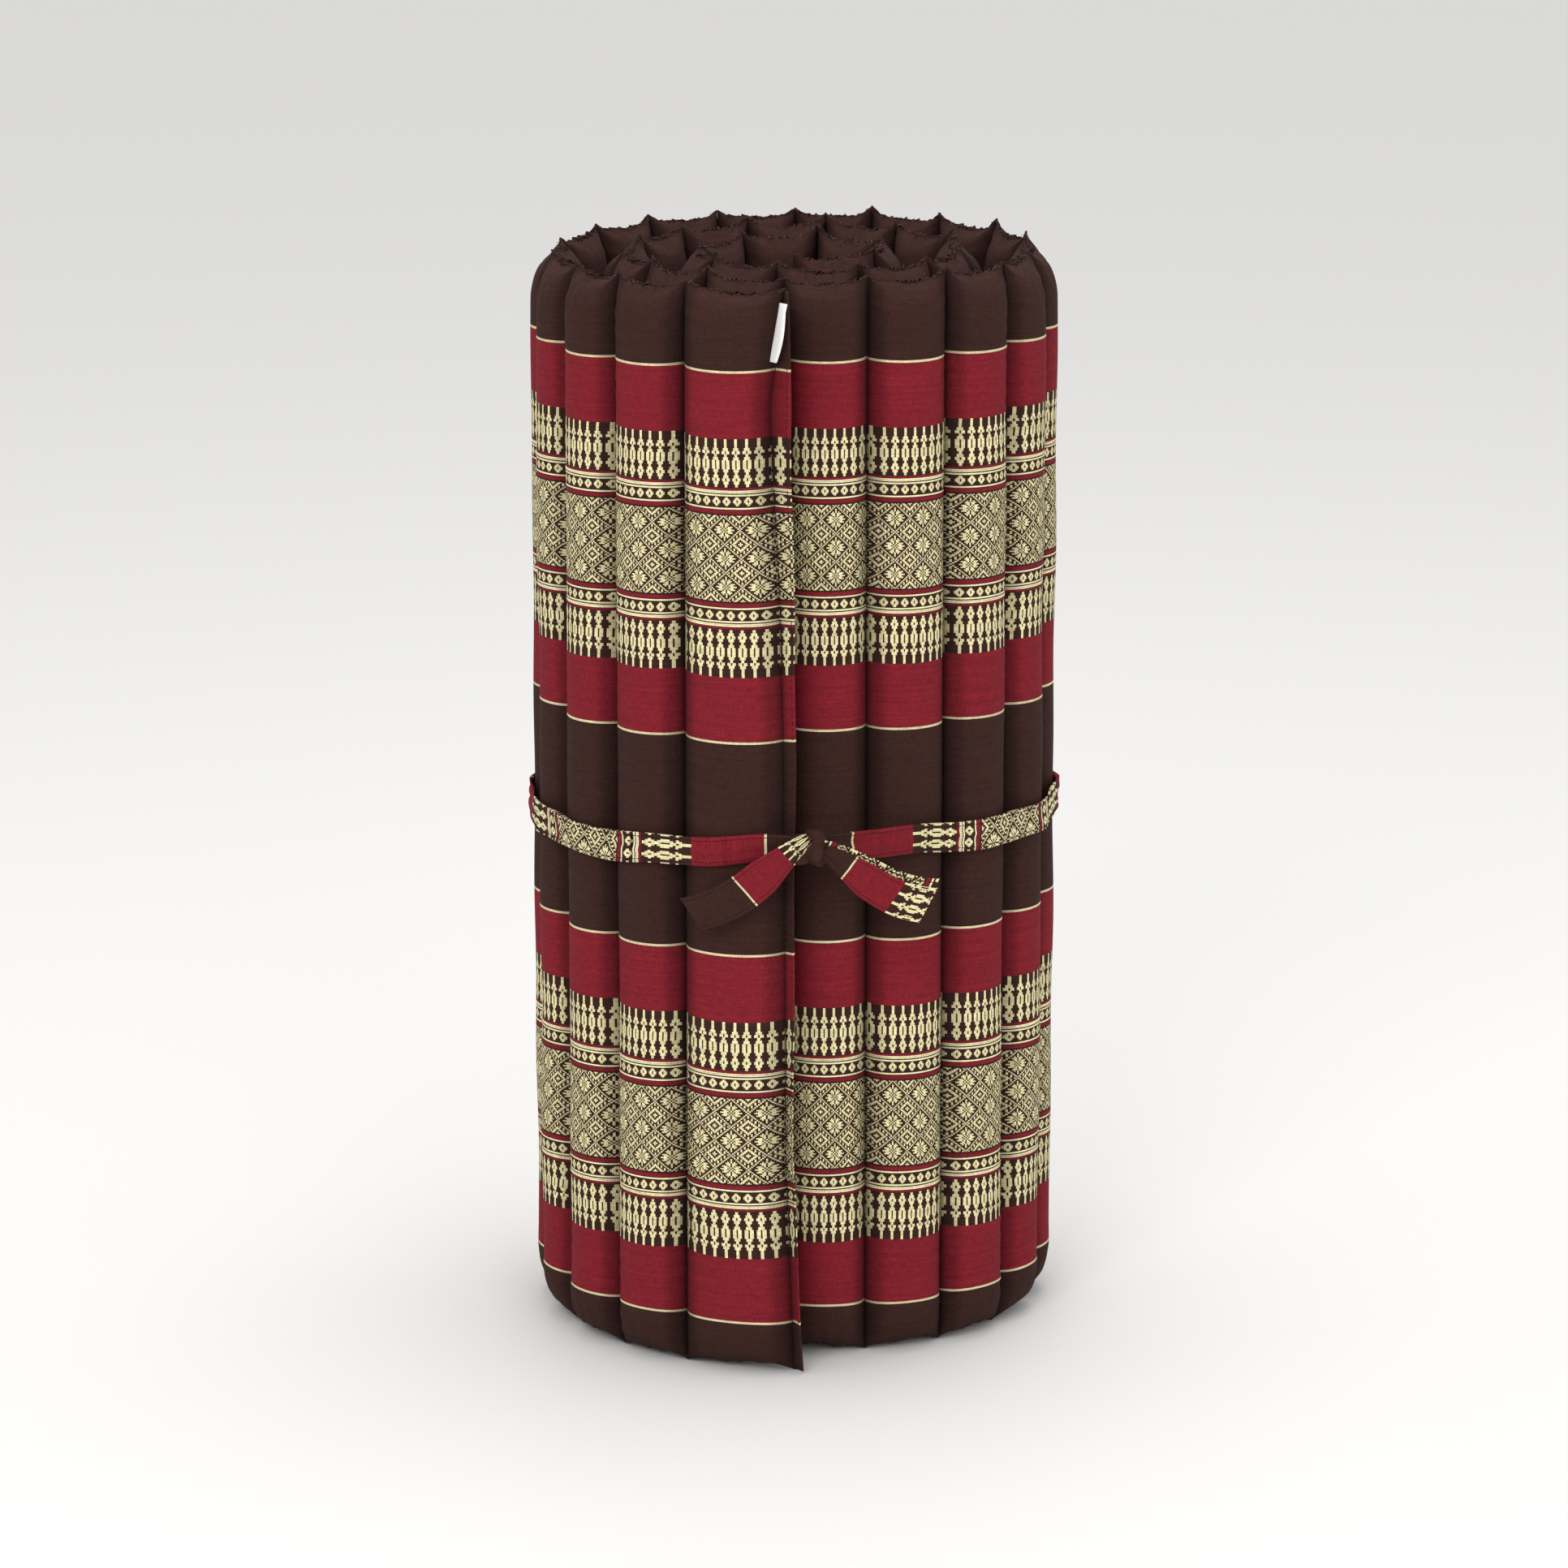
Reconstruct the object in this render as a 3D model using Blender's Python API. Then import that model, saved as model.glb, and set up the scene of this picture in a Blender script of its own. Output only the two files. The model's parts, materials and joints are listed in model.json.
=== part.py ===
"""A roll-up kapok mattress, rolled up, stood on its end and tied with a ribbon.

The mattress is a row of stuffed channels. Each channel is a cloth tube that turns on the sewn seam
beside it, so the rolled mattress is a chain of stiff channels laid along a spiral. The loose end
(channel 1) is in front. From there the spiral runs to the left, round the back and inwards.
"""
import bpy
import bmesh
import math
from mathutils import Matrix, Vector
from mathutils.geometry import convex_hull_2d

# ---- driving dimensions, in metres ----------------------------------------------------------------
HEIGHT = 0.760              # width of the mattress, which is the height of the roll
CHANNELS = 38               # sewn channels along the mattress
COVERED = 17                # outer channels whose kapok filling is a node of its own
CHANNEL_WIDTH = 0.0565      # seam to seam
FLAP_WIDTH = 0.0780         # the first channel, with its seam flange
FLANGE_WIDTH = 0.0115       # flat seam allowance along the flap's free edge
FLANGE_THICKNESS = 0.0024
OUTER_BULGE = 0.0225        # how far a channel stands out of its seam line, on the roll's outer side
INNER_BULGE = 0.0200        # the same, on the side that faces the core
SEAM_CLEARANCE = 0.0006     # each channel stops this far short of the seam's hinge line

ROLL_START_RADIUS = 0.1880  # seam radius of the spiral at its loose end
TURN_PITCH = 0.0455         # how much the radius shrinks over the first turn
PITCH_GROWTH = 0.0012       # the inner turns are rolled a little looser
START_TURN = 0.0100         # the loose end lies this part of a turn left of the front
POLE = Vector((0.01183, 0.01458))  # the spiral's pole, with the whole part's box centred on the origin

CLOTH = 0.0012              # wall of a cover, two plies
FILL_GAP = 0.0005           # between a cover's wall and its filling
TOUCH = 0.0003              # between pieces that touch

END_TAPER = 0.034           # length over which a channel narrows to its closing seam, at the top
FOOT_TAPER = 0.012          # the same at the bottom, where the channel stands on its end
SECTION_POINTS = 16         # corners of a channel's outline
SECTION_POWER = 2.3         # 2 is an ellipse, more is squarer
FLANGE_CORNERS = (7, 8)     # the outline's two corners nearest the channel's start

TIE_HEIGHT = 0.371          # middle of the ribbon
TIE_WIDTH = 0.021
TIE_THICKNESS = 0.0012
TIE_CLEARANCE = 0.0006
KNOT_WIDTH = 0.030
KNOT_DEPTH = 0.018
KNOT_HEIGHT = 0.027
KNOT_OFFSET = Vector((0.012, -0.016))   # from the flap's free edge
TAIL_SPACING = 0.024                    # between the two tails' hinge lines
LEFT_TAIL_LENGTH = 0.092
RIGHT_TAIL_LENGTH = 0.076
LEFT_TAIL_DROP = math.radians(31)       # below level
RIGHT_TAIL_DROP = math.radians(30)
LEFT_TAIL_LEAN = math.radians(7)        # back towards the roll
RIGHT_TAIL_LEAN = math.radians(4)
LABEL_WIDTH = 0.011
LABEL_HEIGHT = 0.039
LABEL_TOP = 0.744
LABEL_TURN = math.radians(50)           # from straight out towards the right

COLOURS = {
    "cover_cloth": (0.055, 0.022, 0.015),
    "kapok_fibre": (0.78, 0.70, 0.52),
    "tie_ribbon": (0.30, 0.020, 0.030),
    "label_tape": (0.86, 0.86, 0.84),
}
ROUGHNESS = {"cover_cloth": 0.85, "kapok_fibre": 0.95, "tie_ribbon": 0.8, "label_tape": 0.7}


# ---- scene and materials --------------------------------------------------------------------------
def clear_scene():
    for old in list(bpy.data.objects):
        bpy.data.objects.remove(old, do_unlink=True)


def make_material(name):
    """A cloth-like Principled material of one colour."""
    material = bpy.data.materials.new(name)
    material.use_nodes = True
    shader = material.node_tree.nodes["Principled BSDF"]
    shader.inputs["Base Color"].default_value = (*COLOURS[name], 1.0)
    shader.inputs["Roughness"].default_value = ROUGHNESS[name]
    shader.inputs["Metallic"].default_value = 0.0
    return material


# ---- the spiral of seams --------------------------------------------------------------------------
def spiral_point(turn):
    """The spiral's point after a number of turns, counted from the front and clockwise from above."""
    radius = ROLL_START_RADIUS - TURN_PITCH * turn - PITCH_GROWTH * turn ** 2
    angle = math.tau * turn
    return POLE + Vector((-radius * math.sin(angle), -radius * math.cos(angle)))


def next_turn(turn, width):
    """The turn at which a straight channel of this width meets the spiral again."""
    start = spiral_point(turn)
    low = turn
    high = turn + 0.3
    for _ in range(50):
        middle = (low + high) / 2
        if (spiral_point(middle) - start).length < width:
            low = middle
        else:
            high = middle
    return low


def seam_line():
    """The seams' places in plan, from the loose end to the core."""
    turn = START_TURN
    seams = [spiral_point(turn)]
    for number in range(1, CHANNELS + 1):
        turn = next_turn(turn, FLAP_WIDTH if number == 1 else CHANNEL_WIDTH)
        seams.append(spiral_point(turn))
    return seams


class Channel:
    """Where one channel lies: its middle, its direction along the mattress, its outward side."""

    def __init__(self, number, start, end):
        self.number = number
        self.start = start
        self.middle = (start + end) / 2
        self.along = (end - start).normalized()
        self.outward = Vector((-self.along.y, self.along.x))
        self.half_width = (end - start).length / 2 - SEAM_CLEARANCE
        self.flange = FLANGE_WIDTH if number == 1 else 0.0
        self.lean_start = 0.0
        self.lean_end = 0.0

    def place(self, u, v, z):
        """The point u along the channel's chord and v outwards, at height z."""
        plan = self.middle + u * self.along + v * self.outward
        return Vector((plan.x, plan.y, z))


def lay_out_channels(seams):
    """All channels, with half of each seam's bend written on both of its neighbours."""
    channels = [Channel(i + 1, seams[i], seams[i + 1]) for i in range(CHANNELS)]
    for outer, inner in zip(channels, channels[1:]):
        half_bend = outer.along.angle(inner.along) / 2
        outer.lean_end = math.tan(half_bend)
        inner.lean_start = math.tan(half_bend)
    return channels


# ---- channels -------------------------------------------------------------------------------------
def signed_power(value, power):
    return math.copysign(abs(value) ** power, value)


def outline(channel, inset, scale_u, scale_v):
    """A channel's rounded outline. On the inner side it narrows, to clear its bent neighbours."""
    corners = []
    for k in range(SECTION_POINTS):
        angle = math.tau * (k + 0.5) / SECTION_POINTS
        across = signed_power(math.cos(angle), 2 / SECTION_POWER)
        out = signed_power(math.sin(angle), 2 / SECTION_POWER)
        v = out * ((OUTER_BULGE if out > 0 else INNER_BULGE) - inset)
        reach = channel.half_width - inset
        if across < 0:
            reach -= channel.flange
        if v < 0:
            lean = channel.lean_end if across > 0 else channel.lean_start
            across *= 1 + v * lean / reach
        u = across * reach
        if channel.flange and inset <= 0 and k in FLANGE_CORNERS:
            u = inset - channel.half_width
            v = math.copysign(FLANGE_THICKNESS / 2, v)
        corners.append((scale_u * u, scale_v * v))
    return corners


def loft(name, channel, rings):
    """One closed skin through a list of (height, inset, scale_u, scale_v) outlines."""
    mesh_maker = bmesh.new()
    loops = []
    for z, inset, scale_u, scale_v in rings:
        points = outline(channel, inset, scale_u, scale_v)
        loops.append([mesh_maker.verts.new(channel.place(u, v, z)) for u, v in points])
    for lower, upper in zip(loops, loops[1:]):
        for k in range(SECTION_POINTS):
            after = (k + 1) % SECTION_POINTS
            mesh_maker.faces.new((lower[k], lower[after], upper[after], upper[k]))
    mesh_maker.faces.new(loops[0][::-1])
    mesh_maker.faces.new(loops[-1])
    bmesh.ops.recalc_face_normals(mesh_maker, faces=mesh_maker.faces)
    return make_object(name, mesh_maker)


def make_object(name, mesh_maker):
    mesh = bpy.data.meshes.new(name)
    mesh_maker.to_mesh(mesh)
    mesh_maker.free()
    built = bpy.data.objects.new(name, mesh)
    bpy.context.scene.collection.objects.link(built)
    return built


def solid_rings(inset):
    """The outlines of a stuffed channel, or of its filling when inset: foot, wall and pillow end."""
    return [
        (inset, inset, 0.90, 0.80),
        (FOOT_TAPER, inset, 1.0, 1.0),
        (HEIGHT - END_TAPER, inset, 1.0, 1.0),
        (HEIGHT - 0.3 * END_TAPER - inset, inset, 0.92, 0.52),
        (HEIGHT - 2 * inset, inset, 0.82, 0.14),
    ]


def build_cover(name, channel):
    """A channel's cloth tube: outer skin, then the mouth in the closing seam, then the inside."""
    mouth = (HEIGHT, 0.0, 0.62, 0.07)
    inside = solid_rings(CLOTH)[:-1]
    return loft(name, channel, solid_rings(0.0) + [mouth] + inside[::-1])


def build_filling(name, channel):
    """A channel's kapok, a little smaller than the inside of its cover."""
    inset = CLOTH + FILL_GAP
    crown = (HEIGHT - 0.35 * END_TAPER, inset, 0.86, 0.46)
    return loft(name, channel, solid_rings(inset)[:-2] + [crown])


def build_stuffed_channel(name, channel):
    """An inner channel, whose cover and filling are one solid."""
    return loft(name, channel, solid_rings(0.0))


def put_origin_on(built, plan):
    """Moves an object's origin to its hinge line, which leaves its faces where they are."""
    built.data.transform(Matrix.Translation((-plan.x, -plan.y, 0.0)))
    built.location = (plan.x, plan.y, 0.0)


# ---- the tie --------------------------------------------------------------------------------------
def tie_path(channels, knot):
    """The taut ribbon's middle line in plan: the convex hull of the outer channels and the knot."""
    lift = TIE_CLEARANCE + TIE_THICKNESS / 2
    left_end = knot - Vector((KNOT_WIDTH / 2 + TOUCH, 0.0))
    right_end = knot + Vector((KNOT_WIDTH / 2 + TOUCH, 0.0))
    points = [left_end, right_end]
    for channel in channels[:COVERED + 1]:
        for u, v in outline(channel, -lift, 1.0, 1.0):
            points.append(channel.place(u, v, 0.0).xy)
    hull = [points[index] for index in convex_hull_2d(points)]
    first = hull.index(left_end)
    hull = hull[first:] + hull[:first]
    return hull if hull[-1] == right_end else [hull[0]] + hull[:0:-1]


def build_tie_band(path):
    """A flat strip of even thickness that stands on edge along the path."""
    mesh_maker = bmesh.new()
    sections = []
    for k, point in enumerate(path):
        before = path[max(k - 1, 0)]
        after = path[min(k + 1, len(path) - 1)]
        along = (after - before).normalized()
        side = Vector((-along.y, along.x)) * TIE_THICKNESS / 2
        if k in (0, len(path) - 1):
            side = Vector((0.0, -TIE_THICKNESS / 2))
        corners = ((side, -1), (side, 1), (-side, 1), (-side, -1))
        section = []
        for shift, up in corners:
            place = point + shift
            z = TIE_HEIGHT + up * TIE_WIDTH / 2
            section.append(mesh_maker.verts.new((place.x, place.y, z)))
        sections.append(section)
    for this, following in zip(sections, sections[1:]):
        for k in range(4):
            after = (k + 1) % 4
            mesh_maker.faces.new((this[k], this[after], following[after], following[k]))
    mesh_maker.faces.new(sections[0])
    mesh_maker.faces.new(sections[-1][::-1])
    bmesh.ops.recalc_face_normals(mesh_maker, faces=mesh_maker.faces)
    return make_object("tie_band", mesh_maker)


def build_knot(knot):
    """The half knot: a round lump, flat where the two ends of the ribbon enter it."""
    mesh_maker = bmesh.new()
    bmesh.ops.create_cube(mesh_maker, size=1.0)
    stretch = Matrix.Diagonal((KNOT_WIDTH, KNOT_DEPTH, KNOT_HEIGHT, 1.0))
    bmesh.ops.transform(mesh_maker, matrix=stretch, verts=mesh_maker.verts)
    rim = [edge for edge in mesh_maker.edges if abs(edge.verts[0].co.x - edge.verts[1].co.x) > TOUCH]
    bmesh.ops.bevel(mesh_maker, geom=rim, offset=0.3 * KNOT_DEPTH, segments=3, profile=0.5, affect='EDGES')
    built = make_object("tie_knot", mesh_maker)
    built.location = (knot.x, knot.y, TIE_HEIGHT)
    return built


def build_tail(name, length, hinge, drop, lean, side):
    """A ribbon end that hangs from the knot. side is -1 to the left and 1 to the right."""
    mesh_maker = bmesh.new()
    bmesh.ops.create_cube(mesh_maker, size=1.0)
    stretch = Matrix.Diagonal((length, TIE_THICKNESS, TIE_WIDTH, 1.0))
    shift = Matrix.Translation((side * length / 2, 0.0, 0.0))
    bmesh.ops.transform(mesh_maker, matrix=shift @ stretch, verts=mesh_maker.verts)
    built = make_object(name, mesh_maker)
    turn = Matrix.Rotation(side * lean, 4, 'Z') @ Matrix.Rotation(side * drop, 4, 'Y')
    built.matrix_world = Matrix.Translation(hinge) @ turn
    return built


def build_label(edge):
    """A blank folded tape, sewn into the flap's free edge, that stands out to the front right."""
    mesh_maker = bmesh.new()
    bmesh.ops.create_cube(mesh_maker, size=1.0)
    stretch = Matrix.Diagonal((TIE_THICKNESS, LABEL_WIDTH, LABEL_HEIGHT, 1.0))
    shift = Matrix.Translation((0.0, -LABEL_WIDTH / 2 - SEAM_CLEARANCE, 0.0))
    bmesh.ops.transform(mesh_maker, matrix=shift @ stretch, verts=mesh_maker.verts)
    built = make_object("side_label", mesh_maker)
    built.location = (edge.x, edge.y, LABEL_TOP - LABEL_HEIGHT / 2)
    built.rotation_euler = (0.0, 0.0, LABEL_TURN)
    return built


# ---- assembly -------------------------------------------------------------------------------------
def build_mattress():
    materials = {name: make_material(name) for name in COLOURS}
    seams = seam_line()
    channels = lay_out_channels(seams)
    for channel in channels:
        if channel.number <= COVERED:
            pieces = {
                "cover_cloth": build_cover(f"cover_{channel.number:02d}", channel),
                "kapok_fibre": build_filling(f"kapok_{channel.number:02d}", channel),
            }
        else:
            pieces = {"cover_cloth": build_stuffed_channel(f"channel_{channel.number:02d}", channel)}
        for material_name, piece in pieces.items():
            put_origin_on(piece, channel.start)
            piece.data.materials.append(materials[material_name])

    edge = seams[0]
    knot = edge + KNOT_OFFSET
    band = build_tie_band(tie_path(channels, knot))
    lump = build_knot(knot)
    tail_plane = knot.y - KNOT_DEPTH / 2 - TIE_THICKNESS
    tails = []
    for name, length, drop, lean, side in (
        ("tie_tail_left", LEFT_TAIL_LENGTH, LEFT_TAIL_DROP, LEFT_TAIL_LEAN, -1),
        ("tie_tail_right", RIGHT_TAIL_LENGTH, RIGHT_TAIL_DROP, RIGHT_TAIL_LEAN, 1),
    ):
        hinge = Vector((knot.x + side * TAIL_SPACING / 2, tail_plane, TIE_HEIGHT))
        tails.append(build_tail(name, length, hinge, drop, lean, side))
    for piece in [band, lump] + tails:
        piece.data.materials.append(materials["tie_ribbon"])
    label = build_label(edge)
    label.data.materials.append(materials["label_tape"])


clear_scene()
build_mattress()
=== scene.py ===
# %% [markdown]
# # A roll-up kapok mattress
# The mattress is a row of 38 sewn channels, each stuffed with kapok. It is rolled up, stood on its
# end and tied with a ribbon cut from its own cloth. The CAD model gives every channel's place, and
# this lesson gives each one its cloth, its seams and its woven bands.

# %% Load the frame
import json
import math

import bpy
import numpy as np
from mathutils import Matrix, Vector
from mathutils.geometry import convex_hull_2d


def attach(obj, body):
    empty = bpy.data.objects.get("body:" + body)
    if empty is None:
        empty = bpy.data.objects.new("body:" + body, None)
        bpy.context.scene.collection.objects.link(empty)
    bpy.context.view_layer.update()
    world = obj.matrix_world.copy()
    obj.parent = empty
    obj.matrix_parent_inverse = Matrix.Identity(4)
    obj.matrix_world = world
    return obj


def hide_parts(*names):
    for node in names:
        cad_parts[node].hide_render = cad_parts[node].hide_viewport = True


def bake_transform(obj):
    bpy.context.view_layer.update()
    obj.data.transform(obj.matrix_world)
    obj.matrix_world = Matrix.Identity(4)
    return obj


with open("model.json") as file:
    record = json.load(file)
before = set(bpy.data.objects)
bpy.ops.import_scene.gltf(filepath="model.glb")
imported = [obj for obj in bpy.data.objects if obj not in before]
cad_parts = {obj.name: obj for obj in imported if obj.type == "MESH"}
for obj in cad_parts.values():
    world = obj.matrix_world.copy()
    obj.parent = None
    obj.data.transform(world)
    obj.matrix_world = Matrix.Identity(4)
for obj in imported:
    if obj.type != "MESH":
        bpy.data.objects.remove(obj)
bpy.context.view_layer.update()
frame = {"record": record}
bodies_of_record = frame["record"]["behaviour"]["bodies"]
BODY_OF = {node: body for body, nodes in bodies_of_record.items() for node in nodes}


def deselect_all():
    """Nothing selected, so that the next operator acts only on what it makes."""
    if bpy.context.object and bpy.context.object.mode != "OBJECT":
        bpy.ops.object.mode_set(mode="OBJECT")
    bpy.ops.object.select_all(action="DESELECT")


def activate(piece):
    deselect_all()
    piece.select_set(True)
    bpy.context.view_layer.objects.active = piece


deselect_all()

# %% [markdown]
# ## The camera comes first
# The mattress is looked at from in front and a little above, through a long lens, so that the
# channels keep their width from the middle of the roll to its sides.

# %% Camera
CAMERA_PLACE = (-0.0070, -4.709, 1.504)
CAMERA_PITCH = math.radians(76.55)
CAMERA_LENS = 157.3

bpy.ops.object.camera_add(location=CAMERA_PLACE, rotation=(CAMERA_PITCH, 0.0, 0.0))
camera = bpy.context.object
camera.name = "camera"
camera.data.lens = CAMERA_LENS
camera.data.sensor_width = 36.0
camera.data.clip_end = 100.0
bpy.context.scene.camera = camera

# %% [markdown]
# ## Floor and studio light
# A plain pale floor and three soft lamps. The two big ones stand on both sides of the camera, so
# each channel is bright along its crest and falls into shade towards its seams.

# %% Floor
FLOOR_SIZE = 70.0
FLOOR_LEVEL = -0.0005

bpy.ops.mesh.primitive_plane_add(size=FLOOR_SIZE, location=(0.0, 0.0, FLOOR_LEVEL))
floor = bpy.context.object
floor.name = "floor"


# %% Lamps
SKY_STRENGTH = 0.86


def add_lamp(name, place, target, size, power):
    """A square soft box that faces its target."""
    bpy.ops.object.light_add(type="AREA", location=place)
    lamp = bpy.context.object
    lamp.name = name
    lamp.data.size = size
    lamp.data.energy = power
    towards = Vector(target) - Vector(place)
    lamp.rotation_euler = towards.to_track_quat("-Z", "Y").to_euler()


add_lamp("key_lamp", (-1.1, -3.7, 2.7), (0.0, 0.0, 0.4), 1.7, 60.0)
add_lamp("fill_lamp", (1.6, -3.9, 1.9), (0.0, 0.0, 0.35), 2.0, 22.0)
add_lamp("top_lamp", (0.2, 0.5, 3.2), (0.0, 0.0, 0.6), 1.8, 34.0)
sky = bpy.data.worlds.new("studio")
sky.use_nodes = True
background = sky.node_tree.nodes["Background"]
background.inputs["Color"].default_value = (1.0, 1.0, 1.0, 1.0)
background.inputs["Strength"].default_value = SKY_STRENGTH
bpy.context.scene.world = sky
bpy.context.scene.view_settings.view_transform = "Standard"

# %% [markdown]
# ## Where the channels lie
# Seen from above, the seams sit on a spiral, one channel's width apart. The numbers are those of
# the CAD part, so every cloth tube lands on the solid that it stands for.

# %% Spiral of seams
HEIGHT = 0.760
CHANNELS = 38
COVERED = 17
CHANNEL_WIDTH = 0.0565
FLAP_WIDTH = 0.0780
OUTER_BULGE = 0.0222
INNER_BULGE = 0.0200
POLE = Vector((0.01183, 0.01458))
SPIRAL_RADIUS = 0.1880
STEP_INWARDS = 0.0455
GROWTH_OF_STEP = 0.0012
FIRST_TURN = 0.01


def spiral_point(turn):
    radius = SPIRAL_RADIUS - STEP_INWARDS * turn - GROWTH_OF_STEP * turn ** 2
    angle = math.tau * turn
    return POLE + Vector((-radius * math.sin(angle), -radius * math.cos(angle)))


def next_turn(turn, width):
    """The turn at which a straight channel of this width meets the spiral again."""
    start, low, high = spiral_point(turn), turn, turn + 0.3
    for _ in range(50):
        middle = (low + high) / 2
        if (spiral_point(middle) - start).length < width:
            low = middle
        else:
            high = middle
    return low


seam_turns = [FIRST_TURN]
for number in range(1, CHANNELS + 1):
    width = FLAP_WIDTH if number == 1 else CHANNEL_WIDTH
    seam_turns.append(next_turn(seam_turns[-1], width))
seams = [spiral_point(turn) for turn in seam_turns]
print("seams", len(seams), "turns", round(seam_turns[-1], 2))


# %% A channel's own frame
class Channel:
    """A channel's middle, its direction along the mattress, and its outward side."""

    def __init__(self, number):
        start, end = seams[number - 1], seams[number]
        self.number = number
        self.middle = (start + end) / 2
        self.along = (end - start).normalized()
        self.outward = Vector((-self.along.y, self.along.x))
        self.half_width = (end - start).length / 2
        self.lean = {-1: 0.0, 1: 0.0}
        self.node = f"cover_{number:02d}" if number <= COVERED else f"channel_{number:02d}"
        self.body = BODY_OF[self.node]

    def plan(self, u, v):
        """The point u along the chord and v outwards, seen from above."""
        return self.middle + u * self.along + v * self.outward


channels = [Channel(number) for number in range(1, CHANNELS + 1)]
for before, after in zip(channels, channels[1:]):
    half_bend = math.tan(before.along.angle(after.along) / 2)
    before.lean[1] = half_bend
    after.lean[-1] = half_bend

# %% [markdown]
# ## One stuffed channel, by cloth simulation
# A real channel is two strips of cloth sewn together down both sides and closed at both ends, then
# stuffed hard. The cloth is wider than the gap between the seams, so it gathers along them. The
# simulation starts from a slack tube, takes the flat cloth as its rest shape, holds the seams, and
# blows the tube up. Two tubes are made, and every channel is a copy of one of them, turned round.

# %% Slack tube
COLUMNS = 16
ROWS = 170
CLOTH_HALF_WIDTH = 0.0385
FLAT_PER_CHANNEL = 2 * CLOTH_HALF_WIDTH
CLOTH_EXTRA_LENGTH = 1.008
END_DEPTH = 0.030
END_SAG = 0.010
SAG_FADE = 0.02
SLACK_BELLY = 0.0185
HALF_CHORD = CHANNEL_WIDTH / 2


def row_height(step):
    """Heights of the rows, closer together at the ends, from 0 to 1."""
    return step - 0.42 * math.sin(math.tau * step) / math.tau


def slack_place(across, height, side):
    """A point of the tube before it is blown up. across runs from -1 to 1."""
    from_end = min(height, 1.0 - height) * HEIGHT
    end = math.sqrt(max(0.0, 1.0 - (1.0 - min(from_end / END_DEPTH, 1.0)) ** 2))
    belly = max(0.0, 1.0 - abs(across) ** 2.2) ** 0.62
    v = side * SLACK_BELLY * belly * end
    sag = END_SAG * (1.0 - across ** 2) * math.exp(-from_end / SAG_FADE)
    z = height * HEIGHT + (sag if height < 0.5 else -sag)
    return (across * HALF_CHORD, v, z)


def join_pieces(pieces):
    """One piece from several. It keeps the first one's data."""
    activate(pieces[0])
    for piece in pieces:
        piece.select_set(True)
    bpy.ops.object.join()
    return bpy.context.object


def volume_of(piece):
    """Positive if the faces point outwards."""
    piece.data.calc_loop_triangles()
    total = 0.0
    for triangle in piece.data.loop_triangles:
        a, b, c = (piece.data.vertices[index].co for index in triangle.vertices)
        total += a.dot(b.cross(c)) / 6
    return total


PUCKER, WAVE, GATHER = 0.0006, 0.0003, 0.0013
WELD = 0.00003


def make_slack_tube(name, seed):
    """Two grids, welded all round. Each keeps where its points lie on the flat cloth."""
    generator = np.random.default_rng(seed)
    phase = generator.uniform(0.0, math.tau, 6)
    halves = []
    for side in (1, -1):
        deselect_all()
        bpy.ops.mesh.primitive_grid_add(x_subdivisions=COLUMNS, y_subdivisions=ROWS, size=2.0)
        half = bpy.context.object
        flat = half.data.attributes.new("flat", "FLOAT_VECTOR", "POINT")
        for vertex in half.data.vertices:
            across, height = vertex.co.x, row_height((vertex.co.y + 1) / 2)
            place = Vector(slack_place(across, height, side))
            near_seam = 2.6 * abs(across) ** 3 * (1.0 - across ** 2)
            off_seam = 1.0 - across ** 2
            from_end = min(height, 1.0 - height) * HEIGHT
            pucker = math.sin(height * 330 + phase[0]) + math.sin(height * 437 + phase[1] + side)
            gather = math.sin(across * 17 + phase[2] + side) * math.exp(-from_end / 0.013)
            slow = math.sin(height * 21 + phase[3]) + math.sin(height * 37 + phase[4] + side)
            place.y += side * (PUCKER * pucker * near_seam + WAVE * slow * off_seam)
            place.y += side * GATHER * gather * off_seam * min(1.0, from_end / 0.004)
            flat.data[vertex.index].vector = (across, height, side)
            vertex.co = place
        if side > 0:
            half.data.flip_normals()
        halves.append(half)
    tube = join_pieces(halves)
    tube.name = name
    bpy.ops.object.mode_set(mode="EDIT")
    bpy.ops.mesh.select_all(action="SELECT")
    bpy.ops.mesh.remove_doubles(threshold=WELD)
    bpy.ops.mesh.normals_make_consistent(inside=False)
    bpy.ops.object.mode_set(mode="OBJECT")
    if volume_of(tube) < 0:
        tube.data.flip_normals()
    return tube


# %% Blow it up
SEAM_WEIGHT_FROM = 0.999
LARGEST_MOVE = 0.011
LAST_STEP = 20


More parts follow.
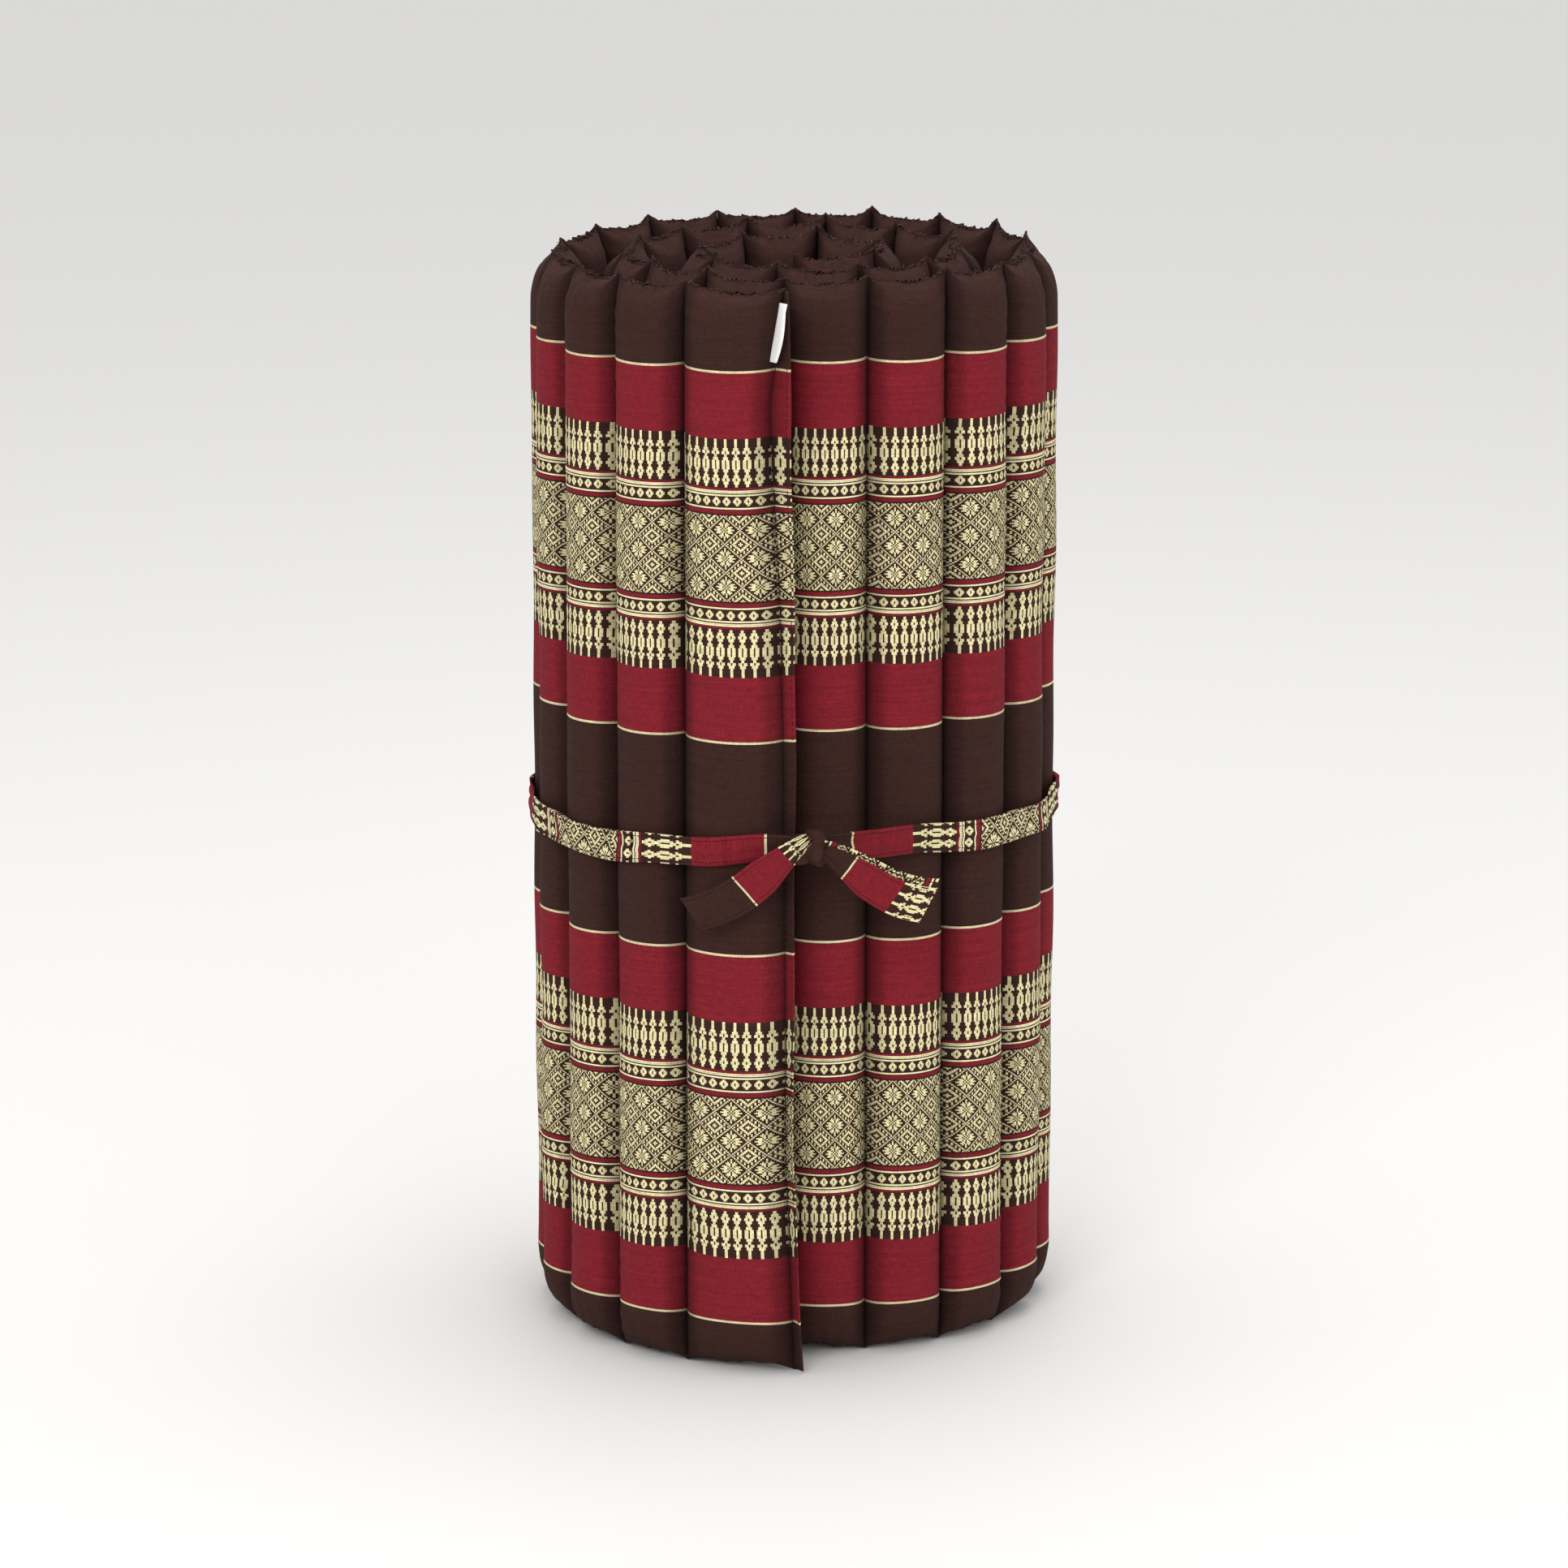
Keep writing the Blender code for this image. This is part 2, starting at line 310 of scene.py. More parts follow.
def blow_up(tube, pressure):
    """Cloth simulation with the side seams held and the flat cloth as the rest shape."""
    start = np.array([vertex.co[:] for vertex in tube.data.vertices])
    flat = np.array([item.vector[:] for item in tube.data.attributes["flat"].data])
    held = tube.vertex_groups.new(name="seams")
    held.add([int(i) for i in np.nonzero(abs(flat[:, 0]) > SEAM_WEIGHT_FROM)[0]], 1.0, "REPLACE")
    tube.shape_key_add(name="slack")
    rest = tube.shape_key_add(name="cut")
    for index, (across, height, side) in enumerate(flat):
        apart = side * 0.0004 * (1 - across ** 2)
        rest.data[index].co = (
            across * CLOTH_HALF_WIDTH, apart, height * HEIGHT * CLOTH_EXTRA_LENGTH)
    tube.data.shape_keys.key_blocks["cut"].value = 0.0
    cloth = tube.modifiers.new("cloth", "CLOTH")
    settings = cloth.settings
    settings.rest_shape_key = rest
    settings.vertex_group_mass = "seams"
    settings.use_pressure = True
    settings.uniform_pressure_force = pressure
    settings.quality = 6
    settings.mass = 0.2
    settings.tension_stiffness = settings.compression_stiffness = 12.0
    settings.shear_stiffness = 3.0
    settings.bending_stiffness = 0.25
    settings.air_damping = 2.0
    settings.effector_weights.gravity = 0.0
    cloth.point_cache.frame_start, cloth.point_cache.frame_end = 1, LAST_STEP
    for step in range(1, LAST_STEP + 1):
        bpy.context.scene.frame_set(step)
    evaluated = tube.evaluated_get(bpy.context.evaluated_depsgraph_get())
    blown = np.array([vertex.co[:] for vertex in evaluated.data.vertices])
    tube.modifiers.remove(cloth)
    tube.shape_key_clear()
    bpy.context.scene.frame_set(1)
    move = blown - start
    length = np.linalg.norm(move, axis=1, keepdims=True)
    move *= np.minimum(1.0, LARGEST_MOVE / np.maximum(length, 1e-9))
    tube.data.vertices.foreach_set("co", (start + move).ravel())
    return start + move, flat


# %% Two stuffed tubes
PRESSURE = 8.0


class Tube:
    """A blown-up tube: its points, where they lie on the flat cloth, and its faces."""

    def __init__(self, seed):
        piece = make_slack_tube(f"tube_{seed}", seed)
        self.points, self.flat = blow_up(piece, PRESSURE)
        self.faces = [tuple(face.vertices) for face in piece.data.polygons]
        bpy.data.objects.remove(piece)


tubes = [Tube(3), Tube(8)]

# %% [markdown]
# ## Materials
# One cloth covers the whole mattress. Its bands run along the mattress, so they are drawn from a
# UV map that is measured in metres on the flat cloth: x along the mattress, y up. The woven figures
# are small charts of light and dark squares, as a weaver would draft them, packed as one number a
# row into the stops of a colour ramp and unpacked again by arithmetic.


# %% Small helpers for node trees
def linear(red, green, blue):
    """A colour given as 0 to 255 on screen, as the linear colour that shaders use."""
    values = [value / 255 for value in (red, green, blue)]
    curve = [v / 12.92 if v <= 0.04045 else ((v + 0.055) / 1.055) ** 2.4 for v in values]
    return (*curve, 1.0)


class Weaver:
    """Adds nodes to one material, each joined to the ones before it."""

    def __init__(self, name):
        self.material = bpy.data.materials.new(name)
        self.material.use_nodes = True
        self.nodes = self.material.node_tree.nodes
        self.links = self.material.node_tree.links
        self.shader = self.nodes["Principled BSDF"]

    def add(self, kind, inputs=None, **settings):
        node = self.nodes.new(kind)
        for key, value in settings.items():
            setattr(node, key, value)
        for key, value in (inputs or {}).items():
            self.join(value, node.inputs[key])
        return node

    def join(self, value, socket):
        if isinstance(value, bpy.types.NodeSocket):
            self.links.new(value, socket)
        else:
            socket.default_value = value

    def math(self, operation, *values):
        node = self.add("ShaderNodeMath", operation=operation)
        for value, socket in zip(values, node.inputs):
            self.join(value, socket)
        return node.outputs[0]

    def times(self, *values):
        return self.math("MULTIPLY", *values)

    def apart(self, *values):
        return self.math("ABSOLUTE", self.math("SUBTRACT", *values))

    def between(self, value, low, high):
        """1 where the value lies between low and high, else 0."""
        above, below = (self.math(test, value, limit) for test, limit in (
            ("GREATER_THAN", low), ("LESS_THAN", high)))
        return self.times(above, below)

    def row_between(self, value, low, high, rows):
        """Which of so many equal rows from low to high the value falls in."""
        above = self.math("SUBTRACT", value, low)
        return self.math("FLOOR", self.math("DIVIDE", above, (high - low) / rows))

    def mix(self, factor, first, second, blend="MIX"):
        inputs = {0: factor, 6: first, 7: second}
        return self.add("ShaderNodeMix", inputs, data_type="RGBA", blend_type=blend).outputs[2]

    def ramp(self, factor, stops, interpolation="CONSTANT"):
        node = self.add("ShaderNodeValToRGB", {0: factor})
        ramp = node.color_ramp
        ramp.interpolation = interpolation
        while len(ramp.elements) < len(stops):
            ramp.elements.new(0.5)
        for element, (place, colour) in zip(ramp.elements, stops):
            element.position = place
        for element, (place, colour) in zip(ramp.elements, stops):
            element.color = colour
        return node.outputs[0]

    def object_place(self):
        return self.add("ShaderNodeTexCoord").outputs["Object"]

    def noise(self, vector, scale, detail=2.0, roughness=0.5):
        inputs = {"Vector": vector, "Scale": scale, "Detail": detail, "Roughness": roughness}
        return self.add("ShaderNodeTexNoise", inputs).outputs["Fac"]

    def stretched(self, vector, scale):
        return self.add("ShaderNodeMapping", {"Vector": vector, "Scale": scale}).outputs[0]

    def bump(self, height, distance, strength=1.0):
        inputs = {"Distance": distance, "Strength": strength, "Height": height}
        node = self.add("ShaderNodeBump", inputs)
        self.links.new(node.outputs[0], self.shader.inputs["Normal"])

    def finish(self, colour, roughness, sheen=0.0):
        inputs = {"Base Color": colour, "Roughness": roughness, "Sheen Weight": sheen,
                  "Sheen Roughness": 0.5, "Specular IOR Level": 0.16}
        for key, value in inputs.items():
            self.join(value, self.shader.inputs[key])
        return self.material


# %% The weaver's charts
# Half a lozenge flower, from its middle outwards: columns to the right, rows upwards.
FLOWER = (".x.xxxx...", "x.xxx....", ".x.xxx...", ".xx....", ".xxx..", "x.x..", "x...", "x..",
          "..", ".")
LOZENGE = 10
SOLID_RINGS = (0, 1, 4, 5)
BARRED_RINGS = (7, 8)


def lozenge_row(row):
    """The light squares of one row, as bits: flower, dotted border, then rings and short bars."""
    bits = 0
    for column in range(LOZENGE + 1):
        if column + row == LOZENGE:
            light = True
        elif column + row < LOZENGE:
            light = FLOWER[row][column] == "x"
        else:
            ring = 2 * LOZENGE - column - row
            light = ring in SOLID_RINGS or (ring in BARRED_RINGS and column % 2 == 0)
        bits += light << column
    return bits


# Half a figure of the border, from its middle outwards, from the lozenges' side outwards.
STEM, NARROW, MIDDLE, SLIT = "xx", "xx", "xxxx", ".xxxxx"
FIGURE = (NARROW, MIDDLE, SLIT, MIDDLE, NARROW, MIDDLE, SLIT, SLIT, SLIT, MIDDLE, NARROW, SLIT,
          MIDDLE, STEM, STEM, STEM)
DIAMOND = (NARROW, MIDDLE, SLIT, SLIT, MIDDLE, NARROW)


def bits_of(row):
    return sum(1 << place for place, square in enumerate(row) if square == "x")


lozenge_codes = [lozenge_row(row) for row in range(LOZENGE + 1)]
figure_codes = [bits_of(row) for row in FIGURE + DIAMOND]

# %% Colours and bands
BROWN = linear(54, 31, 26)
CRIMSON = linear(120, 27, 38)
CREAM = linear(230, 222, 178)
# Heights on the cloth are in metres. Distances from a band's middle line are in millimetres.
BAND_CENTRE = 0.3728
LOZENGES_FROM_CENTRE = 0.2043
FINE_FROM, FINE_TO = 30.0, 52.0
FINE_BANDS = ((30.0, BROWN), (31.5, CRIMSON), (34.1, BROWN), (34.7, CREAM), (35.8, BROWN),
              (44.0, CREAM), (45.1, BROWN), (45.9, CREAM), (46.8, BROWN), (47.0, CREAM),
              (47.9, BROWN), (48.2, CRIMSON), (49.6, BROWN))
LOZENGE_EDGE, DIAMOND_FROM, DIAMOND_TO = 30.3, 37.1, 43.3
FIGURE_FROM, FIGURE_TO = 50.3, 84.0
CRIMSON_TO, LINE_TO = 130.0, 131.6
SQUARE_WIDTH, SQUARE_HEIGHT = 1.23, 1.005
FIGURE_PITCH = 8.33
WARP_PITCH, WEFT_PITCH = 0.9, 0.8
STITCH_LENGTH = 0.0026
HALF_STITCH_WIDTH = 0.32
HALF_CLOTH = 1000 * CLOTH_HALF_WIDTH
RIBBON_MIDDLE = 500.0
LINE = linear(208, 198, 158)
OLD_CREAM = linear(214, 203, 150)
DARK_THREAD = linear(34, 18, 20)
LOZENGE_FULL, FIGURE_FULL = 2048.0, 256.0


def grey(value):
    return (value, value, value, 1.0)


def chart_square(w, codes, full, row, column):
    """1 where a chart's square is light. A ramp holds each row's bits, as a share of full."""
    rows = len(codes)
    place = w.math("DIVIDE", w.math("ADD", row, 0.5), float(rows))
    code = w.ramp(place, [(r / rows, grey(c / full)) for r, c in enumerate(codes)])
    bits = w.math("ADD", w.times(code, full), 0.25)
    shifted = w.math("FLOOR", w.math("DIVIDE", bits, w.math("POWER", 2.0, column)))
    return w.math("FLOORED_MODULO", shifted, 2.0)


def weave_cloth(name, topstitch=0.0):
    """The mattress cloth. topstitch is how far from a ribbon's middle its edge stitches run."""
    w = Weaver(name)
    uv = w.add("ShaderNodeUVMap", uv_map="cloth").outputs[0]
    split = w.add("ShaderNodeSeparateXYZ", {0: uv})
    x = w.times(split.outputs[0], 1000.0)
    y = split.outputs[1]
    band = w.apart(w.apart(y, BAND_CENTRE), LOZENGES_FROM_CENTRE)
    band = w.times(band, 1000.0)

    span = FINE_TO - FINE_FROM
    fine = w.math("DIVIDE", w.math("SUBTRACT", band, FINE_FROM), span)
    ground = w.ramp(fine, [((at - FINE_FROM) / span, colour) for at, colour in FINE_BANDS])
    ground = w.mix(w.between(band, FIGURE_TO, CRIMSON_TO), ground, CRIMSON)
    ground = w.mix(w.between(band, CRIMSON_TO, LINE_TO), ground, LINE)

    column = w.math("FLOOR", w.math("ADD", w.math("DIVIDE", x, SQUARE_WIDTH), 0.5))
    row = w.math("FLOOR", w.math("ADD", w.math("DIVIDE", band, SQUARE_HEIGHT), 0.5))
    across = w.math("PINGPONG", column, float(LOZENGE))
    up = w.math("PINGPONG", row, float(LOZENGE))
    lozenge = w.times(chart_square(w, lozenge_codes, LOZENGE_FULL, up, across),
                      w.math("LESS_THAN", band, LOZENGE_EDGE))

    from_middle = w.math("PINGPONG", w.math("ADD", x, FIGURE_PITCH / 2), FIGURE_PITCH / 2)
    step = w.math("FLOOR", w.math("DIVIDE", from_middle, FIGURE_PITCH / 16))
    figure_row = w.row_between(band, FIGURE_FROM, FIGURE_TO, len(FIGURE))
    diamond_row = w.row_between(band, DIAMOND_FROM, DIAMOND_TO, len(DIAMOND))
    in_figure = w.between(band, FIGURE_FROM, FIGURE_TO)
    in_diamond = w.between(band, DIAMOND_FROM, DIAMOND_TO)
    chosen = w.math("ADD", w.times(in_figure, figure_row),
                    w.times(in_diamond, w.math("ADD", diamond_row, float(len(FIGURE)))))
    figure = w.times(chart_square(w, figure_codes, FIGURE_FULL, chosen, step),
                     w.math("MAXIMUM", in_figure, in_diamond))
    light = w.math("MAXIMUM", lozenge, figure)

    square = w.add("ShaderNodeCombineXYZ", {0: column, 1: row}).outputs[0]
    chance = w.add("ShaderNodeTexWhiteNoise", {"Vector": square}, noise_dimensions="2D")
    cream = w.mix(chance.outputs["Value"], CREAM, OLD_CREAM)
    colour = w.mix(light, ground, cream)

    warp = w.noise(w.stretched(uv, (1700.0, 160.0, 1.0)), 1.0, 2.0)
    weft = w.noise(w.stretched(uv, (130.0, 1900.0, 1.0)), 1.0, 2.0)
    slub = w.noise(w.stretched(uv, (14.0, 420.0, 1.0)), 1.0, 3.0)
    threads = w.math("ADD", w.times(warp, 0.5), w.times(weft, 0.5))
    shade = w.math("ADD", threads, w.times(w.math("SUBTRACT", slub, 0.5), 0.35))
    lit = w.ramp(shade, [(0.28, grey(0.62)), (0.5, grey(1.0)), (0.72, (1.5, 1.46, 1.42, 1.0))],
                 "LINEAR")
    colour = w.mix(1.0, colour, lit, "MULTIPLY")
    if topstitch:
        from_line = w.apart(w.apart(x, RIBBON_MIDDLE), topstitch)
        dash = w.math("SINE", w.times(y, math.tau / STITCH_LENGTH))
        stitch = w.times(w.math("LESS_THAN", from_line, HALF_STITCH_WIDTH),
                         w.math("GREATER_THAN", dash, -0.5))
        colour = w.mix(stitch, colour, DARK_THREAD)
    else:
        from_seam = w.math("PINGPONG", w.math("ADD", x, HALF_CLOTH), HALF_CLOTH)
        stops = [(0.0, (0.40, 0.38, 0.38, 1.0)), (0.16, (0.66, 0.65, 0.65, 1.0)), (0.42, grey(1.0))]
        shadow = w.ramp(w.math("DIVIDE", from_seam, HALF_CLOTH), stops, "EASE")
        colour = w.mix(1.0, colour, shadow, "MULTIPLY")

    warp_wave = w.math("SINE", w.times(x, math.tau / WARP_PITCH))
    weft_wave = w.math("SINE", w.times(w.times(y, 1000.0), math.tau / WEFT_PITCH))
    plain = w.times(w.times(warp_wave, weft_wave), 0.25)
    height = w.math("ADD", w.math("ADD", plain, threads), w.times(light, 0.8))
    w.bump(height, 0.00028, 0.8)
    rough = w.math("SUBTRACT", 0.92, w.times(light, 0.22))
    return w.finish(colour, rough)


cover_cloth = weave_cloth("cover_cloth")
ribbon_cloth = weave_cloth("ribbon_cloth", topstitch=7.9)
tail_cloth = weave_cloth("tail_cloth", topstitch=10.6)

# %% [markdown]
# ## Plain finishes
# Kapok is a matt, silky fibre in tangled tufts. The closing seams are overcast with brown thread
# and caught down with a paler one. The side tape is left blank.


# %% Fibre, threads and tape
def make_fibre():
    w = Weaver("kapok_fibre")
    at = w.object_place()
    tufts = w.noise(at, 90.0, 6.0, 0.65)
    strands = w.noise(w.stretched(at, (900.0, 900.0, 120.0)), 1.0, 3.0)
    colour = w.ramp(tufts, [(0.3, linear(196, 176, 128)), (0.55, linear(232, 219, 182)),
                            (0.75, linear(246, 239, 214))], "LINEAR")
    w.bump(w.math("ADD", tufts, w.math("MULTIPLY", strands, 0.3)), 0.004)
    return w.finish(colour, 0.95, 0.4)


def make_thread(name, colour, paler):
    w = Weaver(name)
    at = w.object_place()
    twist = w.noise(w.stretched(at, (1500.0, 1500.0, 1500.0)), 1.0, 2.0)
    w.bump(twist, 0.0003)
    return w.finish(w.mix(twist, colour, paler), 0.9)


def make_tape():
    w = Weaver("label_tape")
    at = w.object_place()
    rib = w.noise(w.stretched(at, (300.0, 300.0, 3500.0)), 1.0, 1.0)
    w.bump(rib, 0.0002)
    return w.finish(w.mix(rib, linear(222, 222, 218), linear(246, 246, 244)), 0.55, 0.2)


kapok_fibre = make_fibre()
brown_thread = make_thread("brown_thread", linear(36, 22, 19), linear(66, 42, 36))
pale_thread = make_thread("pale_thread", linear(70, 50, 44), linear(124, 100, 90))
label_tape = make_tape()
floor_finish = Weaver("floor_finish")
floor.data.materials.append(floor_finish.finish(linear(230, 229, 227), 0.6))

# %% [markdown]
# ## The stuffed channels
# A tube is laid along its channel's chord. On the roll's inner side it is squeezed between its
# neighbours, on the outer side it spreads until it almost meets them. At the foot the weight of the
# roll presses the pillow ends down on the floor.

# %% Lay a tube in a channel
SUBDIVIDED = 18
SPREAD = 0.56
SEAM_OVERLAP = 0.0003
TURNED = ((1, 1, 1), (-1, 1, -1), (-1, -1, 1), (1, -1, -1))
SLIP = 0.0007
EAR_WIDTH, EAR_HEIGHT = 0.34, 0.016
FOOT_TOP, FOOT_FLAT, FLOOR_GAP = 0.05, 0.012, 0.0006
picks = np.random.default_rng(11)
ear_numbers = np.random.default_rng(29)
EAR_LIFTS = ear_numbers.uniform(0.0005, 0.0055, CHANNELS + 1)
EAR_LEANS = ear_numbers.uniform(-0.0040, 0.0040, CHANNELS + 1)
CLOTH_MARKS = (0.0, 0.0376, 0.2994, 0.4462, 0.7080, HEIGHT)
MARKS_ON_ROLL = (0.0, 0.0367, 0.3002, 0.4493, 0.7049, HEIGHT)


def cloth_height(z):
    """The height on the flat cloth that lies at height z: stuffing draws the cloth up unevenly."""
    return np.interp(z, MARKS_ON_ROLL, CLOTH_MARKS)


def belly_noise(z, seed):
    """Slow, small changes of fullness along a channel."""
    first, second, third, _ = np.random.default_rng(seed).uniform(0.0, math.tau, 4)
    slow, fast = np.sin(z * 14 + first), 0.7 * np.sin(z * 27 + second)
    return (slow + fast + 0.5 * np.sin(z * 43 + third)) / 2.2


def flap_seam(z):
    """Where the loose end's last seam lies along the chord of channel 1: it wanders."""
    heights = (0.0, 0.15, 0.36, 0.43, 0.55, 0.62, 0.68, 0.72, 0.76)
    places = (-0.0405, -0.0340, -0.0330, -0.0325, -0.0290, -0.0245, -0.0225, -0.0275, -0.0330)
    return np.interp(z, heights, places)


def flap_edge(z):
    """Where the loose end's free edge lies: the seam allowance is widest near the top."""
    heights = (0.0, 0.15, 0.36, 0.43, 0.55, 0.62, 0.68, 0.74, 0.76)
    places = (-0.0475, -0.0405, -0.0395, -0.0400, -0.0395, -0.0380, -0.0385, -0.0370, -0.0360)
    return np.interp(z, heights, places)


def first_seam(channel, z):
    """Where a channel's first seam lies along its chord."""
    return flap_seam(z) if channel.number == 1 else -channel.half_width


def tube_in(channel, tube, turned, shrink=0.0):
    """The tube's points in a channel, and their places on the flat cloth."""
    points, flat = tube.points.copy(), tube.flat.copy()
    turn_u, turn_v, turn_z = turned
    points[:, 0] *= turn_u
    points[:, 1] *= turn_v
    flat[:, 0] *= turn_u
    flat[:, 2] *= turn_v
    if turn_z < 0:
        points[:, 2] = HEIGHT - points[:, 2]
        flat[:, 1] = 1.0 - flat[:, 1]
    side, depth, z = points[:, 0] / HALF_CHORD, points[:, 1], points[:, 2].copy()
    first = first_seam(channel, z)
    centre = (first + channel.half_width) / 2
    reach = (channel.half_width - first) / 2 + SEAM_OVERLAP
    u = centre + side * reach
    v = depth * np.where(depth > 0, OUTER_BULGE, INNER_BULGE) / abs(depth).max()
    v *= 1.0 + 0.035 * belly_noise(z, 100 + channel.number)
    lean = np.where(u > centre, channel.lean[1], channel.lean[-1])
    squeeze = np.where(v < 0, 1.0, SPREAD)
    u = centre + (u - centre) * (1.0 + v * lean * squeeze / channel.half_width)
    seam = np.where(side > 0, channel.number, channel.number - 1)
    ear = np.exp(-(((1.0 - abs(side)) / EAR_WIDTH) ** 1.5)) * np.exp(-(HEIGHT - z) / EAR_HEIGHT)
    z += EAR_LIFTS[seam] * ear
    v += EAR_LEANS[seam] * ear
    pressed = np.maximum(z * (1.0 - 0.35 * np.exp(-z / FOOT_FLAT)), FLOOR_GAP)
    z = np.where(z < 0.06, pressed, z)
    v = np.where(z < FOOT_TOP, v * (1.0 + 0.06 * (1.0 - z / FOOT_TOP)), v)
    if shrink:
        u = centre + (u - centre) * (1.0 - shrink)
        v *= 1.0 - 1.6 * shrink
        z = HEIGHT / 2 + (z - HEIGHT / 2) * (1.0 - 0.35 * shrink)
    plan = np.array(channel.middle)[None, :] + u[:, None] * np.array(channel.along)[None, :]
    plan = plan + v[:, None] * np.array(channel.outward)[None, :]
    return np.column_stack([plan, z]), flat


def make_piece(name, points, faces, material):
    mesh = bpy.data.meshes.new(name)
    mesh.from_pydata([tuple(p) for p in points], [], [tuple(f) for f in faces])
    mesh.materials.append(material)
    mesh.shade_smooth()
    piece = bpy.data.objects.new(name, mesh)
    bpy.context.scene.collection.objects.link(piece)
    return piece


def write_cloth_map(piece, uv):
    """Stores a place on the flat cloth, in metres, for every point."""
    layer = piece.data.uv_layers.new(name="cloth")
    corners = np.empty(len(piece.data.loops), dtype=np.int32)
    piece.data.loops.foreach_get("vertex_index", corners)
    layer.data.foreach_set("uv", np.asarray(uv, dtype=np.float32)[corners].ravel())


def crease_edges(piece, flat):
    """Keeps the seams and the closed ends sharp when the tube is subdivided."""
    ends = np.empty(2 * len(piece.data.edges), dtype=np.int32)
    piece.data.edges.foreach_get("vertices", ends)
    ends = ends.reshape(-1, 2)
    seam = abs(flat[:, 0]) > SEAM_WEIGHT_FROM
    closed = abs(flat[:, 1] - 0.5) > 0.4999
    sharp = seam[ends].all(axis=1) | closed[ends].all(axis=1)
    crease = piece.data.attributes.new("crease_edge", "FLOAT", "EDGE")
    crease.data.foreach_set("value", sharp.astype(np.float32))


def subdivide_once(piece):
    activate(piece)
    smooth = piece.modifiers.new("smooth", "SUBSURF")
    smooth.levels = smooth.render_levels = 1
    smooth.uv_smooth = "PRESERVE_BOUNDARIES"
    bpy.ops.object.modifier_apply(modifier=smooth.name)


layouts = {}
for channel in channels:
    tube = tubes[int(picks.integers(len(tubes)))]
    turned = TURNED[int(picks.integers(len(TURNED)))]
    layouts[channel.number] = (tube, turned)
    points, flat = tube_in(channel, tube, turned)
    piece = make_piece(f"cloth_{channel.number:02d}", points, tube.faces, cover_cloth)
    slip = picks.uniform(-SLIP, SLIP)
    along_cloth = channel.number * FLAT_PER_CHANNEL + flat[:, 0] * CLOTH_HALF_WIDTH
    write_cloth_map(piece, np.column_stack([along_cloth, cloth_height(flat[:, 1] * HEIGHT) + slip]))
    crease_edges(piece, flat)
    if channel.number <= SUBDIVIDED:
        subdivide_once(piece)
    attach(piece, channel.body)
    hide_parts(channel.node)

# %% [markdown]
# ## Kapok
# Each outer cover holds a roll of kapok. It is the tube again, a little slimmer, with the lumps
# that tufts of fibre make.

# %% Kapok rolls
TUFT = 0.0011
KAPOK_SHRINK = 0.06


def tuft_height(points, seed):
    waves = np.random.default_rng(seed).uniform(0.0, math.tau, 6)
    x, y, z = points.T
    lumps = np.sin(x * 310 + waves[0]) * np.sin(y * 290 + waves[1]) * np.sin(z * 170 + waves[2])
    wisps = np.sin(x * 640 + z * 410 + waves[3]) * np.sin(y * 700 + z * 530 + waves[4])
    return TUFT * (lumps + 0.5 * wisps)


for channel in channels[:COVERED]:
    tube, turned = layouts[channel.number]
    points, flat = tube_in(channel, tube, turned, shrink=KAPOK_SHRINK)
    piece = make_piece(f"fibre_{channel.number:02d}", points, tube.faces, kapok_fibre)
    normals = np.array([vertex.normal[:] for vertex in piece.data.vertices])
    lumps = tuft_height(points, 40 + channel.number) - TUFT
    piece.data.vertices.foreach_set("co", (points + normals * lumps[:, None]).ravel())
    piece.data.update()
    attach(piece, channel.body)
    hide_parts(f"kapok_{channel.number:02d}")

# %% [markdown]
# ## Closing seams
# Each end is closed by folding both cloths in and whipping them together by hand. That leaves a
# thin, knobbly ridge that dips between two pointed ears, with a stitch every four millimetres.

# %% Ridge and stitches
RIDGE_HALF_THICKNESS = 0.0011
RIDGE_HALF_HEIGHT = 0.0016
STITCHES = 15
STITCH_RADIUS = 0.0003
STITCH_GAP = 0.0004
TOP_DROP, FOOT_LIFT = -0.0008, 0.0022


def closed_faces(rings, sides):
    """The faces that join rings of so many points each, and close the first and the last."""
    last = (rings - 1) * sides
    faces = [(a + k, a + (k + 1) % sides, a + sides + (k + 1) % sides, a + sides + k)
             for a in range(0, last, sides) for k in range(sides)]
    return faces + [tuple(range(sides))[::-1], tuple(range(last, last + sides))]


def swept(path, half_side, half_up, sides, side_of):
    """A closed tube of oval section along a path of points."""
    rings = []
    for index, at in enumerate(path):
        before, after = path[max(index - 1, 0)], path[min(index + 1, len(path) - 1)]
        along = (after - before).normalized()
        side = side_of(along)
        up = along.cross(side).normalized()
        thin = 0.55 if index in (0, len(path) - 1) else 1.0
        for k in range(sides):
            angle = math.tau * k / sides
            spoke = half_side * math.cos(angle) * side + half_up * math.sin(angle) * up
            rings.append(at + thin * spoke)
    return rings, closed_faces(len(path), sides)


def join_parts(name, parts, material):
    """One piece from several (points, faces) parts, with its faces turned outwards."""
    points, faces = [], []
    for part_points, part_faces in parts:
        offset = len(points)
        points += [tuple(p) for p in part_points]
        faces += [tuple(i + offset for i in face) for face in part_faces]
    piece = make_piece(name, points, faces, material)
    activate(piece)
    bpy.ops.object.mode_set(mode="EDIT")
    bpy.ops.mesh.select_all(action="SELECT")
    bpy.ops.mesh.normals_make_consistent(inside=False)
    bpy.ops.object.mode_set(mode="OBJECT")
    return piece


def closing_line(channel, top):
    """The points of a channel's closed end, from its start to its end."""
    tube, turned = layouts[channel.number]
    points, flat = tube_in(channel, tube, turned)
    chosen = [i for i in range(len(flat)) if (flat[i][1] > 0.9999 if top else flat[i][1] < 0.0001)]
    chosen.sort(key=lambda i: flat[i][0])
    return [Vector(points[i]) for i in chosen]


